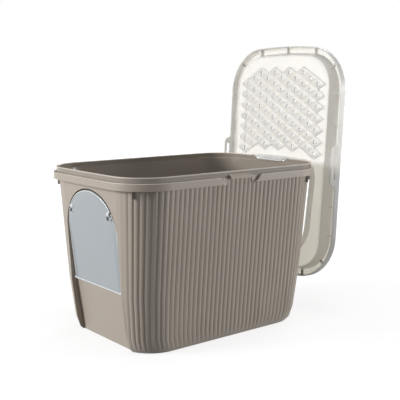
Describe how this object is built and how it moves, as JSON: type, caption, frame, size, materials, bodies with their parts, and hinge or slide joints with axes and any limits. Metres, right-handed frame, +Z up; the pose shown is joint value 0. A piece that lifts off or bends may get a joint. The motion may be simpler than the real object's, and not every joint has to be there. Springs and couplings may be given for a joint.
{
  "type": "top entry litter box",
  "caption": "Deep fluted litter tub with a translucent swing flap in one end and a perforated entry lid hung upright on the rim of the other end.",
  "frame": {"origin": "middle of the tub's flat underside, on the floor", "axes": "+Z up, -X towards the end with the flap, +X towards the end where the lid hangs, Y across the width"},
  "size_m": [0.6403, 0.408, 0.6837],
  "materials": {
    "tub_plastic": "satin warm grey moulded plastic",
    "lid_plastic": "satin cream white moulded plastic",
    "flap_plastic": "translucent blue-grey smoked plastic"
  },
  "bodies": {
    "tub_body": {"tub": "tub_plastic"},
    "lid_body": {"lid": "lid_plastic"},
    "flap_body": {"flap": "flap_plastic"}
  },
  "joints": [
    {"name": "lid_lift", "type": "slide", "parent": "tub_body", "child": "lid_body", "axis": [0.06, 0, 0.9982], "range_m": [0, 0.35]},
    {"name": "flap_hinge", "type": "hinge", "parent": "tub_body", "child": "flap_body", "pos_m": [-0.2696, 0, 0.309], "axis": [0, 1, 0], "range_deg": [-80, 80]}
  ]
}
